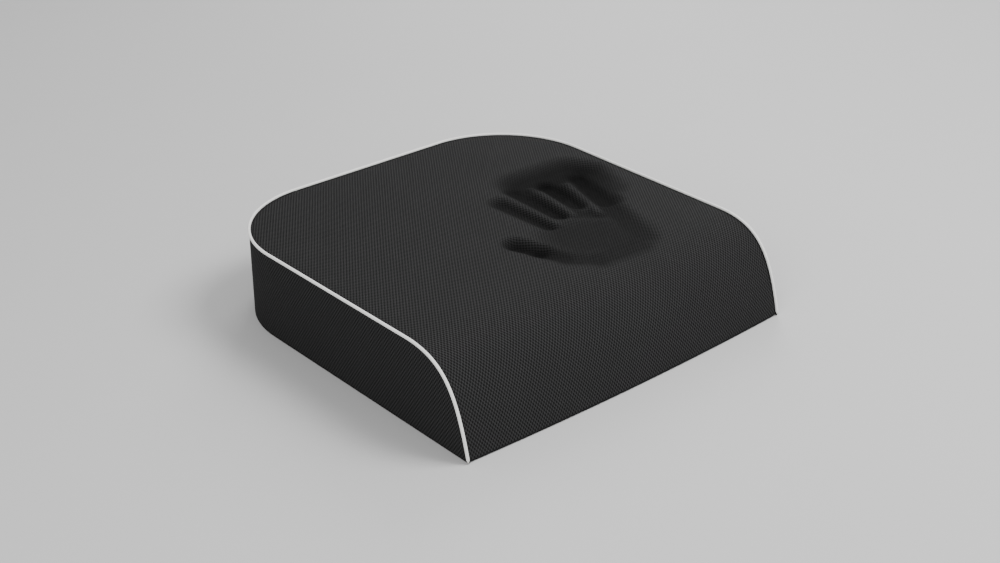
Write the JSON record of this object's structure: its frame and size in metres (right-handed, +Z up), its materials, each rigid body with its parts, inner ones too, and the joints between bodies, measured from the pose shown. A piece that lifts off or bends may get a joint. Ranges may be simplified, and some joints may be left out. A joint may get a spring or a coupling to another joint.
{
  "type": "seat cushion",
  "caption": "Waterfall-front seat cushion: foam core in a liner inside a piped air-mesh cover with a back zip and a grip underside.",
  "frame": {"origin": "centre of the flat underside, on the surface the cushion rests on", "axes": "+Z up through the cushion's height; the waterfall front edge faces -Y; the zip at the back faces +Y; +X is the sitter's left when facing -Y"},
  "size_m": [0.4524, 0.4537, 0.1007],
  "materials": {
    "air_mesh": "black 3-D air mesh knit",
    "grip_fabric": "black woven fabric with small raised grip dots",
    "white_piping": "off-white woven bias tape",
    "cotton_cord": "twisted filler cord",
    "liner_jersey": "thin charcoal jersey",
    "memory_foam": "open-cell memory foam",
    "support_foam": "firmer open-cell foam",
    "zip_tape": "woven polyester tape",
    "zip_nylon": "black nylon coil",
    "zip_metal": "dark plated metal",
    "label_satin": "blank white satin"
  },
  "bodies": {
    "cushion": {"top_panel": "air_mesh", "left_side_panel": "air_mesh", "right_side_panel": "air_mesh", "back_strip_upper": "air_mesh", "back_strip_lower": "air_mesh", "bottom_panel": "grip_fabric", "piping_sleeve": "white_piping", "piping_cord": "cotton_cord", "inner_liner": "liner_jersey", "foam_top_layer": "memory_foam", "foam_base_layer": "support_foam", "zipper_tape_upper": "zip_tape", "zipper_tape_lower": "zip_tape", "zipper_coil_upper": "zip_nylon", "zipper_coil_lower": "zip_nylon", "zipper_top_stop_upper": "zip_metal", "zipper_top_stop_lower": "zip_metal", "zipper_bottom_stop": "zip_metal"},
    "slider": {"zipper_slider": "zip_metal"},
    "pull": {"zipper_pull": "zip_metal"},
    "label": {"care_label": "label_satin"}
  },
  "joints": [
    {"name": "zip_travel", "type": "slide", "parent": "cushion", "child": "slider", "axis": [-1, 0, 0], "range_m": [0, 0.176]},
    {"name": "pull_hinge", "type": "hinge", "parent": "slider", "child": "pull", "pos_m": [0.088, 0.2263, 0.052], "axis": [0, 0, -1], "range_deg": [0, 180]},
    {"name": "label_hinge", "type": "hinge", "parent": "cushion", "child": "label", "pos_m": [0.105, 0.22455, 0.019], "axis": [0, 0, -1], "range_deg": [0, 170]}
  ]
}
